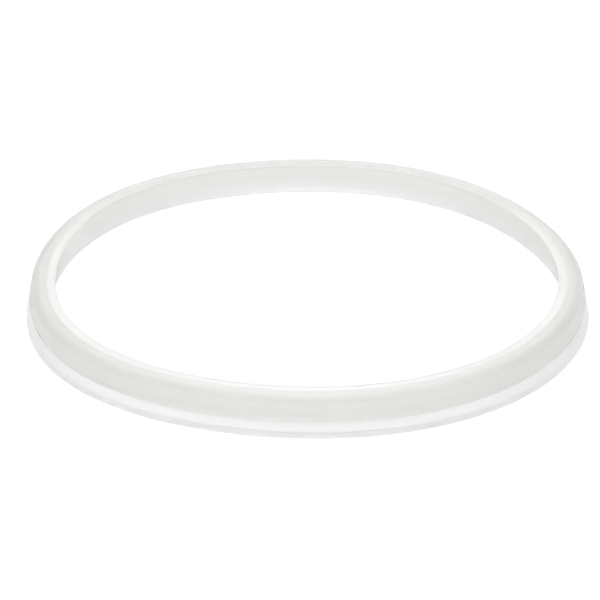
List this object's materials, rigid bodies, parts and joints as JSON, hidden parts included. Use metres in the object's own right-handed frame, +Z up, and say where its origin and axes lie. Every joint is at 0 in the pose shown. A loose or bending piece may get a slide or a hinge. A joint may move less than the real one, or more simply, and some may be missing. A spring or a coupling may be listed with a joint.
{
  "type": "pressure cooker sealing ring",
  "caption": "Moulded milky-silicone sealing ring for a stovetop pressure cooker lid: domed body, flat top land, flared skirt and inner lip below.",
  "frame": {"origin": "centre of the ring, in the plane of the skirt's foot that it lies on", "axes": "+Z up along the ring's axis, from the lips towards the sealing land; X and Y are any two radial directions, since the ring is round"},
  "size_m": [0.24, 0.24, 0.0164],
  "materials": {
    "silicone": "milky translucent moulded silicone, satin"
  },
  "bodies": {
    "root": {"sealing_ring": "silicone"}
  },
  "joints": []
}
